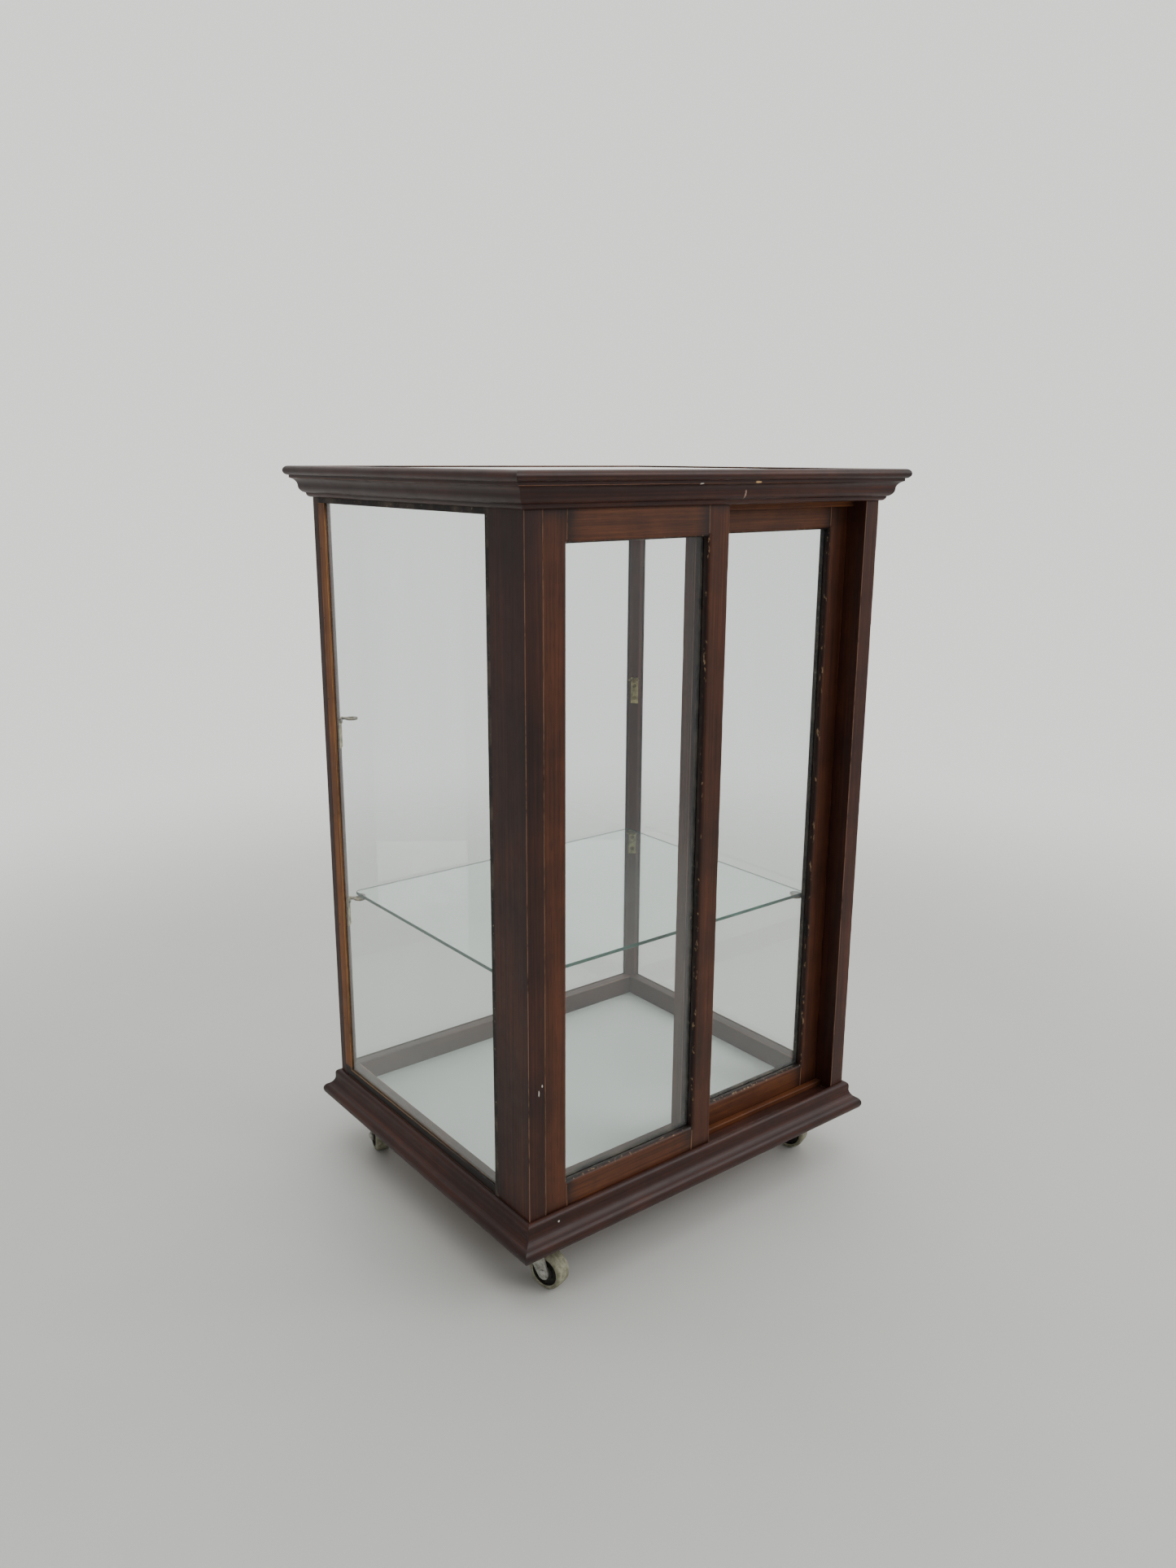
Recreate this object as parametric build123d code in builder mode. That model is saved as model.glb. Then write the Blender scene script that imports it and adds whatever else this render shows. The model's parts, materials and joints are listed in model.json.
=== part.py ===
from build123d import *
import os
from math import cos, radians, sin

# A free-standing glazed display case on four swivel casters: a slender hardwood frame with a
# moulded cornice and base, two sliding glass doors at the front (-Y), one loose glass shelf on
# folding brass brackets.  Millimetres, +Z up, origin on the floor under the middle of the case.

# ---------------------------------------------------------------- driving dimensions
case_width = 474.0            # over the outer faces of the posts
case_depth = 405.0
glazed_height = 700.0         # from the top of the base moulding to the bottom of the cornice
base_height = 35.5
cornice_height = 33.5
cornice_nose = 5.0            # radius of the half round at the top of the cornice

front_post_width = 20.5
front_post_depth = 61.0       # deep enough to cover the ends of both door tracks
back_post = 17.5              # square section, and the thickness of the side and back rails
post_chamfer = 7.0            # on the inner corner of each post, where the brackets are screwed
bottom_rail_height = 45.0
top_rail_drop = 6.0           # side and back top rails hang below the cornice

pane = 3.0                    # side, back and door glass
pane_rebate = 5.0             # depth of the glazing rebates from the outer face
pane_lap = 6.0                # cover of the rebates over the edges of the glass
bead_cover = 8.5              # width of the back-left glazing bead on the bare glass
top_pane = 5.0
top_recess = 1.0              # top glass lies this far below the cornice
glass_gap = 0.5               # all round a pane in its rebate

sill_step = 5.5               # the sill lies below the top of the base moulding
guide_lip = 6.0               # height of the bottom track bead and the lip behind the back door
top_guide = 13.5              # height of the top door groove above the bottom of the cornice
header_step = 4.0             # the front top rail is this much thinner than the front posts
top_bead_drop = 6.5           # top track bead hangs below the cornice
track_bead = 8.0
door = 15.5                   # door thickness
door_setback = 1.0
door_play = 0.5
cutter_spare = 1.0            # cutting solids run this far past what they cut
mitre_spare = 40.0            # mouldings are run this much longer, then mitred
bead_round = 1.6              # rounding of the free edge of the track beads
door_overlap = 23.0
door_top_cover = 5.5          # door tops stand up behind the cornice
stile_width = 27.0
door_top_rail = 36.0
door_bottom_rail = 32.0
ovolo = 4.0
door_glass_depth = 7.0        # from the face of the door to the glass

base_board_thickness = 12.0
floor_panel_thickness = 8.0
panel_gap = 0.5

shelf_side_gap = 4.5          # between the shelf and the back posts
shelf_front_gap = 1.0         # behind the front posts
shelf_thickness = 4.0
shelf_shift = 4.0             # the loose shelf lies a little to the right
shelf_corner = 6.0
shelf_back_gap = 9.0
shelf_level = 266.0           # underside above the bottom of the base
upper_bracket_level = 487.0

plate_width = 10.0
plate_height = 34.0
plate_thickness = 1.5
knuckle = 4.0                 # diameter of the hinge barrel
knuckle_offset = 2.4          # hinge axis in front of the post
hinge_pin = 1.6
arm_knuckle_width = 3.8
arm_thickness = 2.0
arm_neck = 6.0
arm_disc = 14.0
arm_reach = 22.0              # from the post to the tip of the disc
arm_hole = 6.0
arm_shoulder = 0.8            # the neck widens this far in front of the barrel
heel_length = 5.0
heel_thickness = 2.0
heel_gap = 0.1                # between the heel and the plate
hinge_play = 0.05
knuckle_relief = 0.6          # round the arm's barrel, in the gap between the plate's knuckles
folded_arms = ("upper_front_left", "upper_front_right")     # stored against their posts
screw_shank = 2.6
screw_head = 5.4
screw_length = 11.0
screw_slot = (0.4, 0.7)       # depth and width
screw_pitch = 17.0
screw_drop = 9.5

caster_height = 61.0
wheel = 40.0
wheel_width = 19.0
caster_trail = 17.4
kingpin_inset_x = 30.0        # from the outer face of the side posts
kingpin_inset_y = 31.0
caster_plate = (46.0, 36.0, 2.0)
caster_holes = (35.0, 26.0)
caster_screw_shank = 3.5
caster_screw_head = 7.0
caster_screw_length = 10.0
caster_screw_rise = 1.8       # height of the screw heads
race = 26.0
race_height = 3.0
kingpin = 8.0
kingpin_head = (12.0, 2.5)    # diameter and height
axle = 6.0
rivet_head = (9.0, 5.0, 2.0)  # widest, narrowest, height
fork_gauge = 2.0
fork_head = 2.5
fork_flange = 2.0             # the fork head is this much wider than the race all round
fork_eye = 7.0                # radius of the leg round the axle
wheel_shoulder = 3.0          # rounding of the tread
wheel_hub = 9.0               # radius of the solid hub
wheel_rim = 5.0               # thickness of the rim round the hollow in each side
wheel_recess = 4.0            # depth of the hollow
wheel_side_gap = 0.75
caster_play = 0.05
thrust_gap = 0.2
# heading of each wheel from its kingpin, in degrees from +X
headings = {"front_left": -73.0, "front_right": 110.0, "back_left": -107.0, "back_right": 68.0}

# ---------------------------------------------------------------- derived places
half_w = case_width / 2
half_d = case_depth / 2
front = -half_d
back = half_d
base_z = caster_height
base_top = base_z + base_height
cornice_z = base_top + glazed_height
case_top = cornice_z + cornice_height
frame_top = case_top - top_recess - top_pane
rail_top = base_z + bottom_rail_height
rail_low = cornice_z - top_rail_drop
sill_z = base_top - sill_step
header_z = cornice_z + top_guide
post_back = front + front_post_depth
front_door_y = front + door_setback
front_door_back = front_door_y + door
bead_y = front_door_back + door_play
back_door_y = bead_y + track_bead + door_play
back_door_back = back_door_y + door
track_back = back_door_back + 2 * door_play
header_back = post_back - header_step
shelf_half = half_w - back_post - shelf_side_gap
shelf_front = post_back + shelf_front_gap
shelf_back = back - shelf_back_gap
opening = case_width - 2 * front_post_width
door_width = (opening + door_overlap) / 2 - door_play
door_bottom = sill_z + door_play
door_top = cornice_z + door_top_cover
pane_face = pane_rebate - pane      # glass surface behind the outer face of the frame
corners = {"front_left": (-1, -1), "front_right": (1, -1), "back_left": (-1, 1), "back_right": (1, 1)}

os.makedirs("parts", exist_ok=True)


def block(xs, ys, zs, mode=Mode.ADD):
    """A box between two coordinates on each axis, given in either order."""
    spans = [sorted(pair) for pair in (xs, ys, zs)]
    centre = tuple((low + high) / 2 for low, high in spans)
    size = [high - low for low, high in spans]
    with Locations(centre):
        Box(*size, mode=mode)


def write(piece, name):
    piece.part.label = name
    export_step(piece.part, f"parts/{name}.step")


# ---------------------------------------------------------------- shelf brackets
def bracket_plane(side, end, level):
    """Local frame of a bracket: origin on the chamfered face of the post at the hinge, local X
    pointing diagonally into the case, local Z up."""
    if end < 0:
        corner_x, corner_y = half_w - front_post_width, half_d - front_post_depth
    else:
        corner_x, corner_y = half_w - back_post, half_d - back_post
    origin = (side * (corner_x + post_chamfer / 2), end * (corner_y + post_chamfer / 2), level)
    return Plane(origin=origin, x_dir=(-side, -end, 0), z_dir=(0, 0, 1))


lower_hinge = base_z + shelf_level - arm_thickness
upper_hinge = base_z + upper_bracket_level - arm_thickness
bracket_planes = {f"{row}_{name}": bracket_plane(*corners[name], level)
                  for row, level in (("lower", lower_hinge), ("upper", upper_hinge))
                  for name in corners}
plate_screws = [(0, 0, -screw_drop), (0, 0, -screw_drop - screw_pitch)]

# Brass hinge plates: a flat leaf screwed to the post, rolled into two knuckles at its top edge.
with BuildPart(*bracket_planes.values()) as bracket_plates:
    with Locations((plate_thickness / 2, 0, -plate_height / 2)):
        Box(plate_thickness, plate_width, plate_height)
    with Locations((knuckle_offset / 2, 0, 0)):
        Box(knuckle_offset, plate_width, knuckle / 2)
    with Locations((knuckle_offset, 0, 0)):
        Cylinder(knuckle / 2, plate_width, rotation=(90, 0, 0))
        Box(3 * knuckle, arm_knuckle_width + 2 * hinge_play, knuckle + 2 * knuckle_relief, mode=Mode.SUBTRACT)
        Cylinder(hinge_pin / 2, plate_width, rotation=(90, 0, 0), mode=Mode.SUBTRACT)
    with Locations(*plate_screws):
        with Locations((plate_thickness / 2, 0, 0)):
            Cone(screw_shank / 2, screw_head / 2, plate_thickness, rotation=(0, 90, 0), mode=Mode.SUBTRACT)

# Countersunk slotted brass screws, two in each plate.
with BuildPart(*bracket_planes.values()) as bracket_screws:
    with Locations(*plate_screws):
        with Locations((plate_thickness / 2, 0, 0)):
            Cone(screw_shank / 2, screw_head / 2, plate_thickness, rotation=(0, 90, 0))
        with Locations((plate_thickness - screw_length / 2, 0, 0)):
            Cylinder(screw_shank / 2, screw_length - 2 * plate_thickness, rotation=(0, 90, 0))
        with Locations((plate_thickness, 0, 0)):
            Box(2 * screw_slot[0], screw_head, screw_slot[1], mode=Mode.SUBTRACT)

# Hinge pins, pressed into the two knuckles of each plate.
with BuildPart(*bracket_planes.values()) as bracket_pins:
    with Locations((knuckle_offset, 0, 0)):
        Cylinder(hinge_pin / 2, plate_width, rotation=(90, 0, 0))

for piece, name in ((bracket_plates, "bracket_plates"), (bracket_screws, "bracket_screws"),
                    (bracket_pins, "bracket_pins")):
    write(piece, name)

# Folding arms: a narrow neck and a round pad that the shelf rests on.  A heel under the knuckle
# bears on the plate and holds the arm level; each arm folds up against its post.
neck_start = knuckle_offset + knuckle / 2 + arm_shoulder
disc_x = arm_reach - arm_disc / 2
heel_x = plate_thickness + heel_gap + heel_thickness / 2
for name, plane in bracket_planes.items():
    if name in folded_arms:
        up = Vector(0, 0, 1)
        hinge = plane.from_local_coords(Vector(knuckle_offset, 0, 0))
        plane = Plane(hinge - up * knuckle_offset, x_dir=up, z_dir=-plane.x_dir)
    with BuildPart(plane) as arm:
        with BuildSketch(plane):
            with Locations(((knuckle_offset + neck_start) / 2, 0)):
                Rectangle(neck_start - knuckle_offset, arm_knuckle_width)
            with Locations(((neck_start + disc_x) / 2, 0)):
                Rectangle(disc_x - neck_start, arm_neck)
            with Locations((disc_x, 0)):
                Circle(arm_disc / 2)
                Circle(arm_hole / 2, mode=Mode.SUBTRACT)
        extrude(amount=arm_thickness)
        with Locations((knuckle_offset, 0, 0)):
            Cylinder(knuckle / 2, arm_knuckle_width, rotation=(90, 0, 0))
        with Locations((heel_x, 0, -heel_length / 2)):
            Box(heel_thickness, arm_knuckle_width, heel_length)
        with Locations((knuckle_offset, 0, 0)):
            Cylinder(hinge_pin / 2 + hinge_play, plate_width, rotation=(90, 0, 0), mode=Mode.SUBTRACT)
    write(arm, f"{name}_arm")

# ---------------------------------------------------------------- casters
plate_x, plate_y, plate_gauge = caster_plate
axle_z = wheel / 2
plate_z = caster_height - plate_gauge
race_z = plate_z - race_height
fork_z = race_z - thrust_gap
pin_head_z = fork_z - fork_head - thrust_gap
kingpins = {name: (sx * (half_w - kingpin_inset_x), sy * (half_d - kingpin_inset_y))
            for name, (sx, sy) in corners.items()}

# Fixed plates with a pressed ball race, and the riveted kingpins that the forks hang on.
with BuildPart() as caster_plates:
    with Locations(*[(x, y, 0) for x, y in kingpins.values()]):
        with Locations((0, 0, plate_z + plate_gauge / 2)):
            Box(plate_x, plate_y, plate_gauge)
        with Locations((0, 0, (race_z + plate_z) / 2)):
            Cylinder(race / 2, plate_z - race_z)
        with Locations((0, 0, (pin_head_z + race_z) / 2)):
            Cylinder(kingpin / 2, race_z - pin_head_z)
        with Locations((0, 0, pin_head_z - kingpin_head[1] / 2)):
            Cylinder(kingpin_head[0] / 2, kingpin_head[1])
        with Locations((0, 0, caster_height)):
            with GridLocations(*caster_holes, 2, 2):
                Hole(caster_screw_shank / 2, 2 * plate_gauge)
write(caster_plates, "caster_plates")

with BuildPart() as caster_screws:
    with Locations(*[(x, y, 0) for x, y in kingpins.values()]):
        with GridLocations(*caster_holes, 2, 2):
            with Locations((0, 0, plate_z + caster_screw_length / 2)):
                Cylinder(caster_screw_shank / 2, caster_screw_length)
            with Locations((0, 0, plate_z - caster_screw_rise / 2)):
                Cone(caster_screw_head / 2, caster_screw_shank / 2, caster_screw_rise, rotation=(180, 0, 0))
write(caster_screws, "caster_screws")

# Pressed-steel forks with tapered legs and a domed rivet as the axle.
leg_y = wheel_width / 2 + wheel_side_gap + fork_gauge / 2
wheel_hollow = wheel / 2 - wheel_rim
for name, (x, y) in kingpins.items():
    frame = Plane(origin=(x, y, 0), x_dir=(cos(radians(headings[name])), sin(radians(headings[name])), 0),
                  z_dir=(0, 0, 1))
    with BuildPart(frame) as fork:
        with Locations((0, 0, fork_z - fork_head / 2)):
            Cylinder(race / 2 + fork_flange, fork_head)
            Box(race, 2 * leg_y + fork_gauge, fork_head)
        for side in (-1, 1):
            leg_plane = Plane(frame.from_local_coords((0, side * leg_y, 0)), x_dir=frame.x_dir,
                              z_dir=-frame.y_dir)
            with BuildSketch(leg_plane):
                with Locations((caster_trail, axle_z)):
                    Circle(fork_eye)
                with Locations((0, fork_z - fork_head / 2)):
                    Rectangle(race, fork_head)
                make_hull()
            extrude(amount=fork_gauge / 2, both=True)
        with Locations((0, 0, fork_z)):
            Cylinder(kingpin / 2 + caster_play, 4 * fork_head, mode=Mode.SUBTRACT)
        with Locations((caster_trail, 0, axle_z)):
            Cylinder(axle / 2, 4 * wheel_width, rotation=(90, 0, 0), mode=Mode.SUBTRACT)
    with BuildPart(frame) as rivet:
        with Locations((caster_trail, 0, axle_z)):
            Cylinder(axle / 2, 2 * leg_y + fork_gauge, rotation=(90, 0, 0))
        for side in (-1, 1):
            wide, narrow, rise = rivet_head
            with Locations((caster_trail, side * (leg_y + fork_gauge / 2 + rise / 2), axle_z)):
                Cone(wide / 2, narrow / 2, rise, rotation=(-90 * side, 0, 0))
    both = Compound(children=[fork.part, rivet.part])
    both.label = f"{name}_caster_fork"
    export_step(both, f"parts/{name}_caster_fork.step")

    # Solid moulded wheel: a flat tread with rounded shoulders, a recessed web and a bored hub.
    with BuildPart() as caster_wheel:
        hub_centre = frame.from_local_coords((caster_trail, 0, axle_z))
        with BuildSketch(Plane(hub_centre, x_dir=frame.x_dir, z_dir=(0, 0, 1))):
            with Locations((wheel / 4, 0)):
                Rectangle(wheel / 2, wheel_width)
            for end in (-1, 1):
                with Locations(((wheel_hub + wheel_hollow) / 2, end * wheel_width / 2)):
                    Rectangle(wheel_hollow - wheel_hub, 2 * wheel_recess, mode=Mode.SUBTRACT)
            with Locations((axle / 4 + caster_play / 2, 0)):
                Rectangle(axle / 2 + caster_play, wheel_width, mode=Mode.SUBTRACT)
        revolve(axis=Axis(hub_centre, frame.y_dir))
        fillet(caster_wheel.edges().filter_by(GeomType.CIRCLE).sort_by(SortBy.RADIUS)[-2:], wheel_shoulder)
    write(caster_wheel, f"{name}_caster_wheel")

# ---------------------------------------------------------------- frame
# Front posts: flat, deep posts that close the door opening; back posts: slender square ones.
# All four have a rebate for the side glass, and a stopped chamfer for the shelf brackets.
rebate_z = (base_top, rail_low + pane_lap)


def stopped_chamfer(side, corner_x, corner_y, end):
    """Triangular cut along the inner corner of a post, between the bottom and top rails."""
    with BuildSketch(Plane.XY.offset(rail_top)) as triangle:
        with BuildLine():
            Polyline((side * corner_x, end * corner_y),
                     (side * (corner_x + post_chamfer), end * corner_y),
                     (side * corner_x, end * (corner_y + post_chamfer)), close=True)
        make_face()
    extrude(triangle.sketch, amount=rail_low - rail_top, mode=Mode.SUBTRACT)


for side, side_name in ((-1, "left"), (1, "right")):
    outer = side * half_w
    seat = side * (half_w - pane_rebate)
    with BuildPart() as front_post:
        block((outer, side * (half_w - front_post_width)), (front, post_back), (base_z, frame_top))
        block((outer, seat), (post_back - pane_lap, post_back), rebate_z, Mode.SUBTRACT)
        stopped_chamfer(side, half_w - front_post_width, half_d - front_post_depth, -1)
        add(bracket_screws.part, mode=Mode.SUBTRACT)
        add(caster_screws.part, mode=Mode.SUBTRACT)
    write(front_post, f"front_{side_name}_post")

    post_front = back - back_post
    with BuildPart() as rear_post:
        block((outer, side * (half_w - back_post)), (post_front, back), (base_z, frame_top))
        block((outer, seat), (post_front, post_front + pane_lap), rebate_z, Mode.SUBTRACT)
        block((side * (half_w - back_post), side * (half_w - back_post + pane_lap)),
              (back - pane_rebate, back), rebate_z, Mode.SUBTRACT)
        stopped_chamfer(side, half_w - back_post, half_d - back_post, 1)
        add(bracket_screws.part, mode=Mode.SUBTRACT)
        add(caster_screws.part, mode=Mode.SUBTRACT)
    write(rear_post, f"back_{side_name}_post")

# Side and back rails.  The outer upper edge of the bottom rails and the outer lower edge of the
# top rails are rebated for the glass.
side_run = (post_back, back - back_post)
back_run = (-half_w + back_post, half_w - back_post)
with BuildPart() as bottom_rails:
    for side in (-1, 1):
        block((side * half_w, side * (half_w - back_post)), side_run, (base_z, rail_top))
        block((side * half_w, side * (half_w - pane_rebate)), side_run, (base_top, rail_top), Mode.SUBTRACT)
    block(back_run, (back, back - back_post), (base_z, rail_top))
    block(back_run, (back, back - pane_rebate), (base_top, rail_top), Mode.SUBTRACT)
    add(caster_screws.part, mode=Mode.SUBTRACT)
write(bottom_rails, "bottom_rails")

with BuildPart() as top_rails:
    top_rebate = (rail_low, rail_low + pane_lap)
    for side in (-1, 1):
        block((side * half_w, side * (half_w - back_post)), side_run, (rail_low, frame_top))
        block((side * half_w, side * (half_w - pane_rebate)), side_run, top_rebate, Mode.SUBTRACT)
    block(back_run, (back, back - back_post), (rail_low, frame_top))
    block(back_run, (back, back - pane_rebate), top_rebate, Mode.SUBTRACT)
write(top_rails, "top_rails")

# Front sill and header: the sill carries the two door tracks, divided by the bottom bead, with a
# lip behind the back door; the header has the grooves for the door tops.
inner = half_w - front_post_width
with BuildPart() as front_sill:
    block((-inner, inner), (front, header_back), (base_z, sill_z))
    block((-inner, inner), (track_back, header_back), (sill_z, sill_z + guide_lip))
    add(caster_screws.part, mode=Mode.SUBTRACT)
write(front_sill, "front_sill")

with BuildPart() as front_top_rail:
    block((-inner, inner), (front, header_back), (header_z, frame_top))
    block((-inner, inner), (track_back, header_back), (cornice_z, header_z))
write(front_top_rail, "front_top_rail")

with BuildPart() as bottom_bead:
    block((-inner, inner), (bead_y, bead_y + track_bead), (sill_z, sill_z + guide_lip))
    fillet(bottom_bead.faces().sort_by(Axis.Z)[-1].edges().filter_by(Axis.X), bead_round)
write(bottom_bead, "bottom_track_bead")

with BuildPart() as top_bead:
    block((-inner, inner), (bead_y, bead_y + track_bead), (cornice_z - top_bead_drop, header_z))
    fillet(top_bead.faces().sort_by(Axis.Z)[0].edges().filter_by(Axis.X), bead_round)
write(top_bead, "top_track_bead")

# ---------------------------------------------------------------- mouldings
sides = {"front": ((0, -1), half_d, half_w), "right": ((1, 0), half_w, half_d),
         "back": ((0, 1), half_d, half_w), "left": ((-1, 0), half_w, half_d)}


def cornice_outline():
    """Bottom bead, ogee, fillet and half-round nose; local X is the projection, Y the height."""
    ThreePointArc((1.0, 0), (4.0, 1.3), (5.2, 4.4))
    Line((5.2, 4.4), (6.6, 4.9))
    ThreePointArc((6.6, 4.9), (10.0, 7.6), (11.6, 12.4))
    ThreePointArc((11.6, 12.4), (13.6, 17.6), (18.5, 20.6))
    Line((18.5, 20.6), (18.5, cornice_height - 2 * cornice_nose))
    ThreePointArc((18.5, cornice_height - 2 * cornice_nose),
                  (18.5 + cornice_nose, cornice_height - cornice_nose),
                  (18.5, cornice_height))
    Polyline((18.5, cornice_height), (0, cornice_height), (0, 0), (1.0, 0))


def base_outline():
    """Rounded foot, cove and a quarter-round lip."""
    ThreePointArc((14.6, 0), (18.0, 6.0), (14.0, 14.2))
    ThreePointArc((14.0, 14.2), (8.8, 18.4), (6.2, 24.6))
    Line((6.2, 24.6), (6.2, base_height - 5.7))
    ThreePointArc((6.2, base_height - 5.7), (4.5, base_height - 1.7), (0.5, base_height))
    Polyline((0.5, base_height), (0, base_height), (0, 0), (14.6, 0))


def mitred_moulding(name, outline, level):
    """One side of a moulding planted on the frame, cut at 45 degrees at both ends."""
    (ox, oy), distance, half_run = sides[name]
    section = Plane(origin=(ox * distance, oy * distance, level), x_dir=(ox, oy, 0), z_dir=(oy, -ox, 0))
    with BuildPart() as run:
        with BuildSketch(section):
            with BuildLine():
                outline()
            make_face()
        extrude(amount=half_run + mitre_spare, both=True)
        for end in (-1, 1):
            corner = (ox * distance + end * oy * half_run, oy * distance - end * ox * half_run, level)
            outward = (end * oy - ox, -end * ox - oy, 0)
            split(bisect_by=Plane(corner, z_dir=outward), keep=Keep.BOTTOM)
    return run


for name in sides:
    write(mitred_moulding(name, cornice_outline, cornice_z), f"cornice_{name}")
    write(mitred_moulding(name, base_outline, base_z), f"base_moulding_{name}")

# ---------------------------------------------------------------- floor
# Carcass board between the rails, notched round the front posts, and the pale panel laid on it.
board_top = base_z + base_board_thickness


def floor_board(gap, low, high):
    edge = half_w - back_post - gap
    block((-edge, edge), (header_back + gap, back - back_post - gap), (low, high))
    for side in (-1, 1):
        block((side * (edge + cutter_spare), side * (inner - gap)), (header_back, post_back + gap),
              (low, high), Mode.SUBTRACT)


with BuildPart() as base_board:
    floor_board(0, base_z, board_top)
    add(caster_screws.part, mode=Mode.SUBTRACT)
write(base_board, "base_board")

with BuildPart() as floor_panel:
    floor_board(panel_gap, board_top, board_top + floor_panel_thickness)
write(floor_panel, "floor_panel")

# ---------------------------------------------------------------- fixed glass
glass_z = (base_top + glass_gap, rail_low + pane_lap - glass_gap)
side_pane_y = (post_back - pane_lap + glass_gap, back - back_post + pane_lap - glass_gap)
back_pane_x = half_w - back_post + pane_lap - glass_gap

with BuildPart() as top_glass:
    block((-half_w + glass_gap, half_w - glass_gap), (front + glass_gap, back - glass_gap),
          (frame_top, frame_top + top_pane))
write(top_glass, "top_glass")

for side, side_name in ((-1, "left"), (1, "right")):
    with BuildPart() as side_glass:
        block((side * (half_w - pane_face), side * (half_w - pane_rebate)), side_pane_y, glass_z)
    write(side_glass, f"{side_name}_glass")

with BuildPart() as back_glass:
    block((-back_pane_x, back_pane_x), (back - pane_face, back - pane_rebate), glass_z)
write(back_glass, "back_glass")

# Wooden beads that cover the lower edges of the panes, and the wide one nailed beside the back
# left post.
with BuildPart() as glazing_beads:
    bead_z = (base_top, rail_top)
    for side in (-1, 1):
        block((side * half_w, side * (half_w - pane_face)), side_run, bead_z)
    block(back_run, (back, back - pane_face), bead_z)
    block((-half_w, -half_w + pane_face),
          (back - back_post - bead_cover, back - back_post + pane_lap), (rail_top, rail_low))
write(glazing_beads, "glazing_beads")

# Putty that fills the rest of the glazing rebates.
with BuildPart() as pane_putty:
    for side in (-1, 1):
        skin = (side * half_w, side * (half_w - pane_face))
        block(skin, (post_back - pane_lap, post_back), (base_top, rail_low + pane_lap))
        block(skin, side_run, (rail_low, rail_low + pane_lap))
        block(skin, (back - back_post, back - back_post + pane_lap),
              (base_top if side > 0 else rail_low, rail_low + pane_lap))
        block((side * (half_w - back_post), side * (half_w - back_post + pane_lap)),
              (back, back - pane_face), (base_top, rail_low + pane_lap))
    block((-half_w, -half_w + pane_face), (back - back_post, back - back_post + pane_lap),
          (base_top, rail_top))
    block(back_run, (back, back - pane_face), (rail_low, rail_low + pane_lap))
write(pane_putty, "pane_putty")

# ---------------------------------------------------------------- sliding doors
door_glass_back = door_glass_depth + pane
low_edge = door_bottom + door_bottom_rail
high_edge = door_top - door_top_rail


def door_frame(left, face):
    """The whole door frame before it is parted into stiles and rails."""
    with BuildPart() as whole:
        block((left, left + door_width), (face, face + door), (door_bottom, door_top))
        block((left + stile_width, left + door_width - stile_width),
              (face - cutter_spare, face + door + cutter_spare),
              (low_edge, high_edge), Mode.SUBTRACT)
        mouth = whole.faces().filter_by(Axis.Y).sort_by(Axis.Y)[0].inner_wires()[0].edges()
        fillet(mouth, ovolo)
        block((left + stile_width - pane_lap, left + door_width - stile_width + pane_lap),
              (face + door_glass_depth, face + door + cutter_spare),
              (low_edge - pane_lap, high_edge + pane_lap),
              Mode.SUBTRACT)
    return whole


for name, left, face, outer_is_left in (("left_door", -inner + door_play, front_door_y, True),
                                        ("right_door", inner - door_play - door_width, back_door_y, False)):
    right = left + door_width
    frame_y = (face - cutter_spare, face + door + cutter_spare)
    whole = door_frame(left, face)
    stiles = ("outer_stile", "meeting_stile") if outer_is_left else ("meeting_stile", "outer_stile")
    spans = {stiles[0]: ((left, left + stile_width), (door_bottom, door_top)),
             stiles[1]: ((right - stile_width, right), (door_bottom, door_top)),
             "bottom_rail": ((left + stile_width, right - stile_width), (door_bottom, low_edge + ovolo)),
             "top_rail": ((left + stile_width, right - stile_width), (high_edge - ovolo, door_top))}
    for piece_name, (xs, zs) in spans.items():
        with BuildPart() as member:
            add(whole.part)
            block(xs, frame_y, zs, Mode.INTERSECT)
        write(member, f"{name}_{piece_name}")

    edge = pane_lap - glass_gap
    with BuildPart() as door_glass:
        block((left + stile_width - edge, right - stile_width + edge),
              (face + door_glass_depth, face + door_glass_back), (low_edge - edge, high_edge + edge))
    write(door_glass, f"{name}_glass")

    with BuildPart() as door_putty:
        block((left + stile_width - pane_lap, right - stile_width + pane_lap),
              (face + door_glass_back, face + door), (low_edge - pane_lap, high_edge + pane_lap))
        block((left + stile_width, right - stile_width), frame_y, (low_edge, high_edge), Mode.SUBTRACT)
    write(door_putty, f"{name}_putty")

# ---------------------------------------------------------------- shelf
shelf_z = base_z + shelf_level
with BuildPart() as shelf_glass:
    block((shelf_shift - shelf_half, shelf_shift + shelf_half), (shelf_front, shelf_back),
          (shelf_z, shelf_z + shelf_thickness))
    fillet(shelf_glass.edges().filter_by(Axis.Z), shelf_corner)
write(shelf_glass, "shelf_glass")
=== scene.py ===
import json
import math
import random

import bmesh
import bpy
from mathutils import Matrix, Vector, noise


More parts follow.
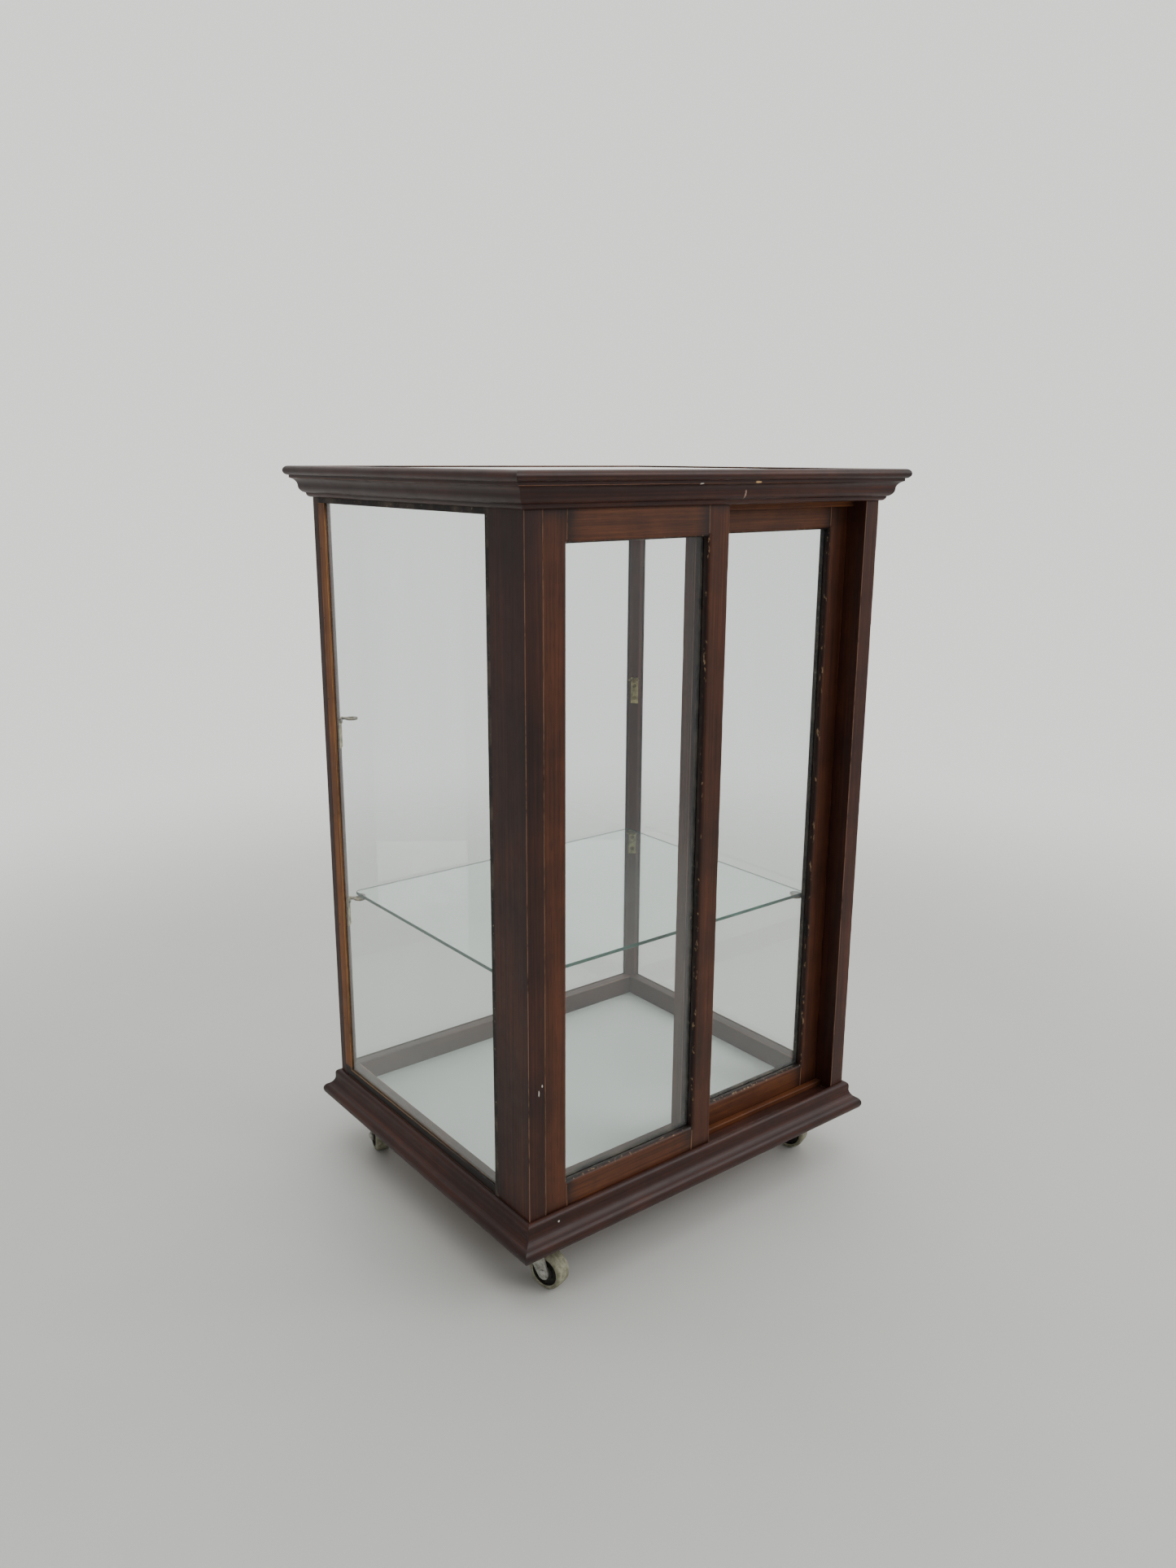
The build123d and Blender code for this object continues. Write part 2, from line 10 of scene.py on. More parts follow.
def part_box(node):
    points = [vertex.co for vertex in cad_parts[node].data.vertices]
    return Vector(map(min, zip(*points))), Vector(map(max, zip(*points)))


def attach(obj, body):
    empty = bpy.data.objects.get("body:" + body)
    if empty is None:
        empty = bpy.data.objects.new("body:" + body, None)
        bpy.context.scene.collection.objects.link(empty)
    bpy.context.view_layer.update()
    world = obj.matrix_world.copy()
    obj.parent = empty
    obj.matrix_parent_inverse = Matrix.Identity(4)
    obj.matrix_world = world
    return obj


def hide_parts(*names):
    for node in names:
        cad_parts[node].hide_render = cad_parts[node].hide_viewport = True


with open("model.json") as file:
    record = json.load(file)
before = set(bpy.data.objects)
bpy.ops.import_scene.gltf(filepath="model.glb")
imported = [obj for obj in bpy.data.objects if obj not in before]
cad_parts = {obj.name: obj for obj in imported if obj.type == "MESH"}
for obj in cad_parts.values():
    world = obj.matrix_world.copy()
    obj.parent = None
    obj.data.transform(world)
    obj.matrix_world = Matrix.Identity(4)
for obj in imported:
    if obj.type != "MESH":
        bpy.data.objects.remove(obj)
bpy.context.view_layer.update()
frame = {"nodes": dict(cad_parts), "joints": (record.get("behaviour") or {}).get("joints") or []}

# ---------------------------------------------------------------- room and camera
# The case stands on a plain pale floor in an evenly lit white room.  It is seen from above its
# front left corner, from about standing height.
eye = Vector((-0.8596, -1.0834, 0.8405))
yaw, dip, tilt = (math.radians(a) for a in (38.25, 14.93, 0.29))
ahead = Vector((math.sin(yaw) * math.cos(dip), math.cos(yaw) * math.cos(dip), -math.sin(dip)))
level_right = Vector((math.cos(yaw), -math.sin(yaw), 0))
level_up = level_right.cross(ahead)
right = level_right * math.cos(tilt) + level_up * math.sin(tilt)
up = right.cross(ahead)
camera = bpy.data.objects.new("camera", bpy.data.cameras.new("camera"))
bpy.context.scene.collection.objects.link(camera)
camera.matrix_world = Matrix.Translation(eye) @ Matrix((right, up, -ahead)).transposed().to_4x4()
camera.data.sensor_fit = "VERTICAL"
camera.data.sensor_height = 36.0
camera.data.lens = 28.14
bpy.context.scene.camera = camera


class Wire:
    """A number that varies over a material.  Arithmetic on it adds Math nodes."""

    def __init__(self, tree, socket):
        self.tree, self.socket = tree, socket

    def reckon(self, operation, *terms):
        node = self.tree.nodes.new("ShaderNodeMath")
        node.operation = operation
        for slot, term in zip(node.inputs, terms):
            if isinstance(term, Wire):
                self.tree.links.new(term.socket, slot)
            else:
                slot.default_value = term
        return Wire(self.tree, node.outputs[0])

    def __add__(self, other): return self.reckon("ADD", self, other)
    def __radd__(self, other): return self.reckon("ADD", other, self)
    def __sub__(self, other): return self.reckon("SUBTRACT", self, other)
    def __rsub__(self, other): return self.reckon("SUBTRACT", other, self)
    def __mul__(self, other): return self.reckon("MULTIPLY", self, other)
    def __rmul__(self, other): return self.reckon("MULTIPLY", other, self)


def srgb(r, g, b):
    """Linear colour from the usual 0 to 255 numbers."""
    parts = [c / 255 for c in (r, g, b)]
    return tuple(p / 12.92 if p <= 0.0404 else ((p + 0.055) / 1.055) ** 2.4 for p in parts) + (1.0,)


class Finish:
    """A material, or the light of the room, being made up node by node."""

    def __init__(self, name, room=None):
        self.material = room or bpy.data.materials.new(name)
        self.material.use_nodes = True
        self.tree = self.material.node_tree
        self.tree.nodes.clear()

    def add(self, kind, settings=None, inputs=None, output=0):
        node = self.tree.nodes.new(kind)
        for key, value in (settings or {}).items():
            if key == "stops":
                ramp = node.color_ramp.elements
                while len(ramp) < len(value):
                    ramp.new(1.0)
                for stop, (place, colour) in zip(ramp, value):
                    stop.position, stop.color = place, colour
            else:
                setattr(node, key, value)
        for key, value in (inputs or {}).items():
            if isinstance(value, Wire):
                self.tree.links.new(value.socket, node.inputs[key])
            else:
                node.inputs[key].default_value = value
        return Wire(self.tree, node.outputs[output]) if node.outputs else None

    def step(self, value, low, high):
        """0 below low, 1 above high, smooth between; low may be the larger."""
        return self.add("ShaderNodeMapRange", {"interpolation_type": "SMOOTHSTEP"},
                        {0: value, 1: low, 2: high, 3: 0.0, 4: 1.0})

    def cloud(self, where, stretch, detail=3.0, roughness=0.55, shift=(0, 0, 0)):
        """Noise between 0 and 1; stretch is how many times it varies in a metre along each axis."""
        placed = self.add("ShaderNodeMapping", None, {"Vector": where, "Scale": stretch, "Location": shift})
        return self.add("ShaderNodeTexNoise", None,
                        {"Vector": placed, "Scale": 1.0, "Detail": detail, "Roughness": roughness})

    def blend(self, share, first, second):
        """Two colours mixed by share, from 0 for the first to 1 for the second."""
        return self.add("ShaderNodeMix", {"data_type": "RGBA"},
                        {0: share, 6: first, 7: second}, output=2)

    def named(self, attribute, output=2):
        return self.add("ShaderNodeAttribute", {"attribute_name": attribute}, output=output)

    def facing(self, toward, direction):
        """How nearly one direction runs along another, 1 where it is the same."""
        return self.add("ShaderNodeVectorMath", {"operation": "DOT_PRODUCT"}, {0: toward, 1: direction},
                        output=1)

    def close(self, shader, output="ShaderNodeOutputMaterial"):
        self.add(output, None, {"Surface": shader})
        return self.material


floor_radius, floor_sides = 7.0, 96
floor_mesh = bpy.data.meshes.new("floor")
turns = [i * math.tau / floor_sides for i in range(floor_sides)]
ring = [(floor_radius * math.cos(turn), floor_radius * math.sin(turn), 0.0) for turn in turns]
floor_mesh.from_pydata(ring, [], [range(floor_sides)])
floor = bpy.data.objects.new("floor", floor_mesh)
bpy.context.scene.collection.objects.link(floor)
mix = Finish("floor_paint")
where = mix.add("ShaderNodeTexCoord", output=3)
tone = mix.blend(mix.cloud(where, (3.0, 3.0, 3.0), 4.0), srgb(194, 194, 190), srgb(203, 203, 200))
reach = mix.add("ShaderNodeVectorMath", {"operation": "LENGTH"}, {0: where}, output=1)
floor_mesh.materials.append(mix.close(mix.add("ShaderNodeBsdfPrincipled", None, {
    "Base Color": tone, "Roughness": 0.55, "Alpha": mix.step(reach, 2.1, 0.8)})))

world = bpy.data.worlds.new("room")
bpy.context.scene.world = world
mix = Finish("room", world)
toward = mix.add("ShaderNodeTexCoord", output=0)
leftward = mix.step(mix.facing(toward, (-0.97, 0.1, 0.0)), 0.05, 0.8)
frontward = mix.step(mix.facing(toward, (0.2, -0.96, -0.15)), 0.25, 0.85)
shade = mix.blend(leftward, srgb(253, 253, 250), srgb(150, 150, 150))
shade = mix.blend(frontward, shade, srgb(156, 156, 156))
mix.close(mix.add("ShaderNodeBackground", None, {"Color": shade, "Strength": 1.26}), "ShaderNodeOutputWorld")


def lamp(name, place, aim, width, height, watts):
    """A broad soft lamp hung at a place and aimed at a point."""
    light = bpy.data.lights.new(name, "AREA")
    light.shape, light.size, light.size_y = "RECTANGLE", width, height
    light.energy = watts
    holder = bpy.data.objects.new(name, light)
    bpy.context.scene.collection.objects.link(holder)
    holder.location = place
    holder.rotation_euler = (Vector(aim) - Vector(place)).to_track_quat("-Z", "Y").to_euler()


lamp("window", (1.9, -2.6, 2.3), (0, 0, 0.45), 2.2, 1.8, 56)
lamp("ceiling", (-0.2, 0.3, 3.1), (0, 0, 0), 3.2, 3.2, 26)

# ---------------------------------------------------------------- carcass of the case
# Posts, rails, sill and header are planed from a reddish-brown hardwood, stained dark and
# varnished.  They are old: the arrises are rubbed pale, the ends and hollows hold dark grime.
shuffle = random.Random(11)
EASE = 0.0009           # radius of a rubbed arris
STATION = 0.008         # spacing of the small unevennesses along an arris
MOULDED = 0.0045        # width of a moulded edge


def piece(name, mesh, body, *materials):
    """Links a finished mesh as a piece that moves with a body."""
    made = bpy.data.objects.new(name, mesh)
    bpy.context.scene.collection.objects.link(made)
    for material in materials:
        mesh.materials.append(material)
    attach(made, body)
    return made


def islands(bm):
    """The vertices of each separate solid in a mesh, always in the same order."""
    seen, found = set(), []
    for first in bm.verts:
        if first in seen:
            continue
        seen.add(first)
        reach, group = [first], []
        while reach:
            vert = reach.pop()
            group.append(vert)
            for edge in vert.link_edges:
                other = edge.other_vert(vert)
                if other not in seen:
                    seen.add(other)
                    reach.append(other)
        found.append(group)
    return found


def span(verts):
    low = Vector([min(v.co[i] for v in verts) for i in range(3)])
    high = Vector([max(v.co[i] for v in verts) for i in range(3)])
    return low, high


def worked(node, ease=EASE, shortest=0.012, nicks=1.0, inward_to=None):
    """A node's shape with its arrises eased and a little uneven.  It carries the grain's own
    coordinates (board), the distance to its ends (ends), how far its moulded edge facing the
    point inward_to lies behind its front (sunk) and how much it is on an arris (arris)."""
    bm = bmesh.new()
    bm.from_mesh(frame["nodes"][node].data)
    board = bm.verts.layers.float_vector.new("board")
    on_arris, ends, sunk = (bm.verts.layers.float.new(name) for name in ("arris", "ends", "sunk"))
    bmesh.ops.remove_doubles(bm, verts=bm.verts, dist=2e-6)
    bmesh.ops.dissolve_limit(bm, angle_limit=math.radians(0.5), verts=bm.verts, edges=bm.edges)
    sharp = [e for e in bm.edges if len(e.link_faces) == 2 and e.is_convex
             and e.calc_face_angle(0) > math.radians(30) and e.calc_length() > shortest]
    if ease:
        made = bmesh.ops.bevel(bm, geom=sharp, offset=ease, segments=2, profile=0.5, affect="EDGES",
                               clamp_overlap=False)
        rounded = set(made["faces"])
        for vert in {v for f in rounded for v in f.verts}:
            if all(f in rounded for f in vert.link_faces):
                vert[on_arris] = 1.0
    boards = []
    for group in islands(bm):
        low, high = span(group)
        along = max(range(3), key=lambda i: high[i] - low[i])
        normal = Vector([float(i == along) for i in range(3)])
        for count in range(1, int((high[along] - low[along]) / STATION)):
            at = low.copy()
            at[along] += (count + shuffle.uniform(-0.3, 0.3)) * STATION
            faces = list(dict.fromkeys(f for v in group for f in v.link_faces))
            edges = list(dict.fromkeys(e for f in faces for e in f.edges))
            verts = list(dict.fromkeys(v for f in faces for v in f.verts))
            cut = bmesh.ops.bisect_plane(bm, geom=verts + edges + faces, plane_co=at, plane_no=normal)
            fresh = [v for v in cut["geom_cut"] if isinstance(v, bmesh.types.BMVert)]
            group = list(dict.fromkeys(group + fresh))
        boards.append((group, along, low, high))
    for group, along, low, high in boards:
        across = [i for i in range(3) if i != along]
        offset = Vector([shuffle.uniform(0, 9) for _ in range(3)])
        middle = (low + high) / 2
        for vert in group:
            vert[board] = Vector((vert.co[across[0]], vert.co[across[1]], vert.co[along])) + offset
            vert[ends] = min(vert.co[along] - low[along], high[along] - vert.co[along])
            if inward_to is not None:
                side = next(i for i in across if i != 1)
                edge = high[side] if inward_to[side] > middle[side] else low[side]
                vert[sunk] = vert.co.y - low.y if abs(edge - vert.co[side]) < MOULDED else 0.0
            if vert[on_arris] > 0.5 and nicks:
                depth = max(0.0, noise.noise(vert.co * 70 + offset) - 0.12) * 0.0012 * nicks
                inward = middle - vert.co
                inward[along] = 0
                vert.co += inward.normalized() * depth
    mesh = bpy.data.meshes.new(node)
    bm.to_mesh(mesh)
    bm.free()
    for face in mesh.polygons:
        face.use_smooth = True
    mesh.set_sharp_from_angle(angle=math.radians(32))
    return mesh


def stained(name, deep, middle, bright, rubbed, wear=0.6, grime=0.7, hollow=0.0, sheen=0.42, spots=(),
            dark_below=None):
    """Varnished hardwood: streaky grain, dark pores, grime towards the ends, pale rubbed arrises."""
    mix = Finish(name)
    board = mix.named("board", 1)
    where = mix.add("ShaderNodeTexCoord", output=3)
    ribbon = mix.cloud(board, (38.0, 38.0, 1.3), 3.0, 0.6)
    streak = mix.cloud(board, (520.0, 520.0, 7.0), 4.0, 0.65)
    pore = mix.cloud(board, (1500.0, 1500.0, 55.0), 2.0, 0.6)
    patch = mix.cloud(where, (11.0, 11.0, 11.0), 4.0, 0.62)
    mottle = mix.cloud(where, (60.0, 60.0, 60.0), 4.0, 0.65)
    figure = mix.step(ribbon * 0.28 + streak * 0.37 + patch * 0.35, 0.28, 0.74)
    stops = [(0.0, deep), (0.5, middle), (1.0, bright)]
    tone = mix.add("ShaderNodeValToRGB", {"stops": stops}, {"Fac": figure})
    lines = mix.step(pore, 0.43, 0.3) * 0.5
    tone = mix.blend(lines, tone, deep)
    darkening = mix.step(mix.named("ends") + patch * 0.03, 0.035, 0.012) * grime
    darkening = darkening + mix.step(patch, 0.56, 0.72) * (grime * 0.8)
    if hollow:
        sunk = mix.named("sunk")
        darkening = darkening + mix.step(sunk + mottle * 0.0012, 0.0009, 0.0026) * hollow
        flakes = mix.step(mix.cloud(where, (230.0, 230.0, 90.0), 4.0, 0.7), 0.585, 0.63)
        crumbs = flakes * mix.step(sunk, 0.0003, 0.0012) * mix.step(sunk, 0.0045, 0.0035) * 0.8
    # Darker towards the bottom of the piece, below the height dark_below, added to the darkening.
    if dark_below is not None:
        height = mix.add("ShaderNodeSeparateXYZ", None, {0: where}, output=2)
        darkening = darkening + mix.step(height, dark_below + 0.002, dark_below) * 0.8
    darkening = darkening.reckon("MINIMUM", darkening, 1.0)
    tone = mix.blend(darkening, tone, srgb(26, 17, 15))
    patchy = mix.step(mottle * 0.6 + patch * 0.4, 0.46 - 0.2 * wear, 0.52)
    rub = mix.step(mix.named("arris"), 0.1, 0.6) * patchy
    tone = mix.blend(rub * wear, tone, rubbed)
    if hollow:
        tone = mix.blend(crumbs, tone, srgb(158, 128, 98))
    rough = sheen + mottle * 0.16 + rub * 0.25 - darkening * 0.05
    for place, size, colour in spots:
        gap = mix.add("ShaderNodeVectorMath", {"operation": "SUBTRACT"}, {0: where, 1: place})
        gap = mix.add("ShaderNodeVectorMath", {"operation": "DIVIDE"}, {0: gap, 1: size})
        reach = mix.add("ShaderNodeVectorMath", {"operation": "LENGTH"}, {0: gap}, output=1)
        torn = mix.cloud(where, (700.0, 700.0, 700.0), 2.0)
        tone = mix.blend(mix.step(reach + torn * 0.9, 1.35, 1.1), tone, colour)
    relief = pore * 0.5 + streak * 0.3 + mottle * 0.25
    bump = mix.add("ShaderNodeBump", None, {"Strength": 0.22, "Distance": 0.0006, "Height": relief})
    return mix.close(mix.add("ShaderNodeBsdfPrincipled", None, {
        "Base Color": tone, "Roughness": rough, "Normal": bump, "IOR": 1.48, "Specular IOR Level": 0.34}))


def timber(node, body, slot, material, **shaping):
    """A wooden piece in place of its node, its broad faces kept flat in the light."""
    made = piece(f"{node}_wood", worked(node, **shaping), body, material)
    made.modifiers.new("faces", "WEIGHTED_NORMAL").keep_sharp = True
    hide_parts(node)


chalk = srgb(205, 200, 190)
case_wood = stained("case_wood", srgb(25, 12, 9), srgb(56, 27, 18), srgb(86, 44, 27), srgb(160, 122, 100),
                    spots=[((-0.2245, -0.2025, 0.236), (0.0009, 0.004, 0.004), chalk),
                           ((-0.2205, -0.2025, 0.243), (0.0008, 0.004, 0.002), chalk)])
carcass = ("front_left_post", "front_right_post", "back_right_post", "back_left_post", "front_sill",
           "bottom_rails", "front_top_rail", "top_rails")
for node in carcass:
    timber(node, "case", "frame_wood", case_wood)

# ---------------------------------------------------------------- mouldings
# The cornice and the base moulding are run in four lengths each, mitred at the corners and
# planted on the frame.  Their arrises are more rubbed than the frame's, with a few pale chips.
moulding_wood = stained("moulding_wood", srgb(24, 10, 7), srgb(50, 22, 14), srgb(86, 39, 22),
                        srgb(160, 114, 86), wear=0.8, sheen=0.36, spots=[
                            ((0.03, -0.2215, 0.818), (0.005, 0.01, 0.0014), srgb(200, 160, 110)),
                            ((-0.045, -0.2215, 0.817), (0.003, 0.01, 0.001), chalk),
                            ((0.02, -0.216, 0.806), (0.0015, 0.01, 0.006), srgb(150, 120, 105)),
                            ((-0.205, -0.211, 0.088), (0.0014, 0.01, 0.0016), chalk)])
for side in ("front", "right", "back", "left"):
    for run in ("cornice", "base_moulding"):
        timber(f"{run}_{side}", "case", "frame_wood", moulding_wood, ease=0.0005, nicks=1.6)

# ---------------------------------------------------------------- track beads and glazing beads
# Loose strips of lighter wood: the rubbing strips that part the two door tracks, and the beads
# nailed over the edges of the side glass.
nail_holes = [((-0.237, 0.188, z), (0.004, 0.0012, 0.0012), srgb(22, 13, 9))
              for z in (0.172, 0.295, 0.432, 0.571, 0.664, 0.741)]
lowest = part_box("glazing_beads")[0].z
# The beads are darker towards their bottom, up to 11.5 mm above their lowest point.
bead_wood = stained("bead_wood", srgb(72, 38, 17), srgb(126, 76, 36), srgb(164, 106, 56), srgb(196, 148, 102),
                    wear=0.8, grime=0.5, sheen=0.5, spots=nail_holes, dark_below=lowest + 0.0115)
track_wood = stained("track_wood", srgb(52, 25, 12), srgb(102, 56, 26), srgb(146, 86, 40), srgb(190, 138, 88),
                     wear=0.9, grime=0.7, sheen=0.5)
beads = (("top_track_bead", "frame_wood", track_wood), ("bottom_track_bead", "worn_wood", track_wood),
         ("glazing_beads", "worn_wood", bead_wood))
for node, slot, wood in beads:
    timber(node, "case", slot, wood, ease=0.0005)

# ---------------------------------------------------------------- floor of the case
# A plain softwood board carries the load; a pale faced panel is laid on it.
board_wood = stained("board_wood", srgb(110, 78, 48), srgb(150, 112, 74), srgb(180, 140, 98),
                     srgb(190, 160, 120), grime=0.35, sheen=0.7)
made = piece("base_board_wood", worked("base_board"), "case", board_wood)
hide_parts("base_board")

mix = Finish("panel_facing")
where = mix.add("ShaderNodeTexCoord", output=3)
scuff = mix.cloud(where, (40.0, 40.0, 40.0), 5.0, 0.7)
cloudy = mix.cloud(where, (6.0, 6.0, 6.0), 3.0)
tone = mix.blend(cloudy * 0.6 + scuff * 0.4, srgb(204, 206, 204), srgb(222, 223, 220))
bump = mix.add("ShaderNodeBump", None, {"Strength": 0.1, "Distance": 0.0003, "Height": scuff})
panel_facing = mix.close(mix.add("ShaderNodeBsdfPrincipled", None, {
    "Base Color": tone, "Roughness": scuff * 0.2 + 0.38, "Normal": bump}))
made = piece("floor_panel_board", worked("floor_panel", ease=0.0004, nicks=0.0), "case", panel_facing)
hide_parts("floor_panel")

# ---------------------------------------------------------------- glass
# Clear float glass, greenish where it is seen through its edges.  The side, back and door panes
# are let into rebates; the top lies inside the cornice; the shelf has rubbed round corners.
def slab(outline, low, high, ease, swap=(0, 1, 2)):
    """A sheet cut to an outline, its edges ground; faces on the edge take the second material."""
    middle = Vector((sum(p[0] for p in outline), sum(p[1] for p in outline))) / len(outline)
    rings = []
    for inset, level in ((ease, low), (0.0, low + ease), (0.0, high - ease), (ease, high)):
        row = []
        for x, y in outline:
            away = Vector((x, y)) - middle
            spot = (x - math.copysign(inset, away.x), y - math.copysign(inset, away.y), level)
            row.append(Vector([spot[swap[i]] for i in range(3)]))
        rings.append(row)
    count = len(outline)
    verts = [v for row in rings for v in row]
    faces, kinds = [list(range(count))[::-1], [3 * count + i for i in range(count)]], [0, 0]
    for start in range(0, 3 * count, count):
        for i in range(count):
            j = (i + 1) % count
            faces.append([start + i, start + j, start + count + j, start + count + i])
            kinds.append(1)
    mesh = bpy.data.meshes.new("sheet")
    mesh.from_pydata(verts, [], faces)
    for face, kind in zip(mesh.polygons, kinds):
        face.material_index = kind
    bm = bmesh.new()
    bm.from_mesh(mesh)
    bmesh.ops.recalc_face_normals(bm, faces=bm.faces)
    bm.to_mesh(mesh)
    bm.free()
    return mesh


def clear_glass(name, tint, haze):
    """Glass that lets lamps through.  Haze is a thin film of dust and old cleaning marks."""
    mix = Finish(name)
    where = mix.add("ShaderNodeTexCoord", output=3)
    smear = mix.cloud(where, (9.0, 9.0, 3.0), 4.0, 0.65)
    glass = mix.add("ShaderNodeBsdfPrincipled", None, {
        "Base Color": tint, "Roughness": 0.0, "IOR": 1.5, "Transmission Weight": 1.0})
    dust = mix.add("ShaderNodeBsdfPrincipled", None, {"Base Color": srgb(190, 198, 198), "Roughness": 0.8})
    seen = mix.add("ShaderNodeMixShader", None, {0: mix.step(smear, 0.3, 0.8) * haze + haze * 0.4,
                                                 1: glass, 2: dust})
    shade = mix.add("ShaderNodeBsdfTransparent", None, {"Color": tint})
    lamp_ray = mix.add("ShaderNodeLightPath", output=1)
    return mix.close(mix.add("ShaderNodeMixShader", None, {0: lamp_ray, 1: seen, 2: shade}))


ground_edge = 0.0004
pane_face = clear_glass("pane_glass", srgb(250, 253, 252), haze=0.02)
shelf_face = clear_glass("shelf_glass_face", srgb(240, 250, 246), haze=0.02)
mix = Finish("glass_edge")
where = mix.add("ShaderNodeTexCoord", output=3)
tone = mix.blend(mix.cloud(where, (60.0, 60.0, 60.0)), srgb(10, 50, 41), srgb(34, 96, 80))
edge_glass = mix.close(mix.add("ShaderNodeBsdfPrincipled", None, {
    "Base Color": tone, "Roughness": 0.2, "Specular IOR Level": 0.12}))


def pane(node, body, swap):
    """A rectangular sheet the size of its node; swap puts its thickness along the right axis."""
    low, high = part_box(node)
    a, b, t = (swap.index(i) for i in range(3))
    outline = [(low[a], low[b]), (high[a], low[b]), (high[a], high[b]), (low[a], high[b])]
    made = piece(f"{node}_sheet", slab(outline, low[t], high[t], ground_edge, swap), body,
                 pane_face, edge_glass)
    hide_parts(node)


pane("top_glass", "case", (0, 1, 2))
pane("left_glass", "case", (2, 0, 1))
pane("right_glass", "case", (2, 0, 1))
pane("back_glass", "case", (0, 2, 1))

low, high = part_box("shelf_glass")
shelf_corner, corner_steps = 0.006, 8
left_side, right_side = low.x + shelf_corner, high.x - shelf_corner
near, far = low.y + shelf_corner, high.y - shelf_corner
outline = []
quarters = ((right_side, far, 0), (left_side, far, 90), (left_side, near, 180), (right_side, near, 270))
for cx, cy, start in quarters:
    for step in range(corner_steps + 1):
        turn = math.radians(start + step * 90 / corner_steps)
        outline.append((cx + shelf_corner * math.cos(turn), cy + shelf_corner * math.sin(turn)))
made = piece("shelf_sheet", slab(outline, low.z, high.z, 0.0005), "shelf", shelf_face, edge_glass)
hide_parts("shelf_glass")

# ---------------------------------------------------------------- sliding doors
# Each door is two stiles and two rails, with an ovolo round the opening and the glass puttied in
# from the back.  The rails are worn orange in the middle, dark beside the stiles.
door_wood = stained("door_wood", srgb(38, 19, 11), srgb(84, 46, 25), srgb(122, 72, 38), srgb(166, 126, 96),
                    wear=0.8, grime=0.85, hollow=0.85)
stile_wood = stained("stile_wood", srgb(32, 15, 9), srgb(72, 37, 20), srgb(106, 58, 31), srgb(160, 118, 88),
                     wear=0.8, grime=0.8, hollow=0.8)
mix = Finish("old_putty")
where = mix.add("ShaderNodeTexCoord", output=3)
crumb = mix.cloud(where, (300.0, 300.0, 300.0), 4.0, 0.7)
smudge = mix.cloud(where, (45.0, 45.0, 45.0), 3.0)
tone = mix.blend(mix.step(smudge, 0.4, 0.7), srgb(34, 27, 24), srgb(78, 66, 56))
tone = mix.blend(mix.step(crumb, 0.62, 0.72), tone, srgb(168, 150, 128))
bump = mix.add("ShaderNodeBump", None, {"Strength": 0.6, "Distance": 0.0008, "Height": crumb})
old_putty = mix.close(mix.add("ShaderNodeBsdfPrincipled", None, {
    "Base Color": tone, "Roughness": 0.75, "Normal": bump}))

for side in ("left", "right"):
    body = f"door_{side}"
    opening = Vector(sum(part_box(f"{side}_door_glass"), Vector())) / 2
    for part in ("outer_stile", "meeting_stile", "top_rail", "bottom_rail"):
        node = f"{side}_door_{part}"
        timber(node, body, "door_wood", door_wood if "rail" in part else stile_wood,
               ease=0.0007, inward_to=opening)
    pane(f"{side}_door_glass", body, (0, 2, 1))
    made = piece(f"{side}_door_putty_bed", worked(f"{side}_door_putty", ease=0.0), body, old_putty)
    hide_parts(f"{side}_door_putty")

made = piece("pane_putty_bed", worked("pane_putty", ease=0.0), "case", old_putty)
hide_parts("pane_putty")

# ---------------------------------------------------------------- shelf brackets
# Eight small brackets of dull brass.  Each is a plate screwed to a post and rolled into knuckles,
# with a pin and a folding arm that ends in a round pad with a hole.
def brass(name, clean, tarnished):
    """Old brass, brighter where it has been handled and dull where it has tarnished."""
    mix = Finish(name)
    where = mix.add("ShaderNodeTexCoord", output=3)
    blot = mix.cloud(where, (160.0, 160.0, 160.0), 4.0, 0.65)
    fine = mix.cloud(where, (900.0, 900.0, 900.0), 2.0)
    tone = mix.blend(mix.step(blot, 0.35, 0.7), clean, tarnished)
    bump = mix.add("ShaderNodeBump", None, {"Strength": 0.25, "Distance": 0.0003, "Height": fine})
    return mix.close(mix.add("ShaderNodeBsdfPrincipled", None, {
        "Base Color": tone, "Metallic": 0.9 - mix.step(blot, 0.5, 0.8) * 0.5,
        "Roughness": blot * 0.4 + 0.22, "Normal": bump}))


plate_brass = brass("plate_brass", srgb(186, 174, 124), srgb(112, 100, 68))
arm_brass = brass("arm_brass", srgb(138, 122, 78), srgb(62, 54, 36))
rows = [f"{row}_{end}_{side}" for row in ("lower", "upper") for end in ("front", "back")
        for side in ("left", "right")]
metalwork = [("bracket_plates", "case"), ("bracket_pins", "case"), ("bracket_screws", "case")]
metalwork += [(f"{row}_arm", f"{row}_arm") for row in rows]
for node, body in metalwork:
    made = piece(f"{node}_brass", worked(node, ease=0.0, nicks=0.0), body,
                 plate_brass if node == "bracket_plates" else arm_brass)
    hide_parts(node)

# ---------------------------------------------------------------- casters
# Swivel casters with zinc-plated pressed forks on riveted kingpins.  The hard grey-green wheels
# have a worn tread and a dark hollow round the hub, and turn on a rivet with domed heads.
mix = Finish("dull_zinc")
where = mix.add("ShaderNodeTexCoord", output=3)
blot = mix.cloud(where, (150.0, 150.0, 150.0), 4.0, 0.65)
tone = mix.blend(mix.step(blot, 0.4, 0.72), srgb(190, 190, 182), srgb(118, 115, 102))
bump = mix.add("ShaderNodeBump", None, {"Strength": 0.2, "Distance": 0.0003, "Height": blot})
dull_zinc = mix.close(mix.add("ShaderNodeBsdfPrincipled", None, {
    "Base Color": tone, "Metallic": 0.85 - blot * 0.3, "Roughness": blot * 0.35 + 0.25, "Normal": bump}))
mix = Finish("wheel_rubber")
where = mix.add("ShaderNodeTexCoord", output=3)
blot = mix.cloud(where, (160.0, 160.0, 160.0), 4.0, 0.7)
tone = mix.blend(mix.step(blot, 0.35, 0.7), srgb(118, 116, 94), srgb(158, 156, 134))
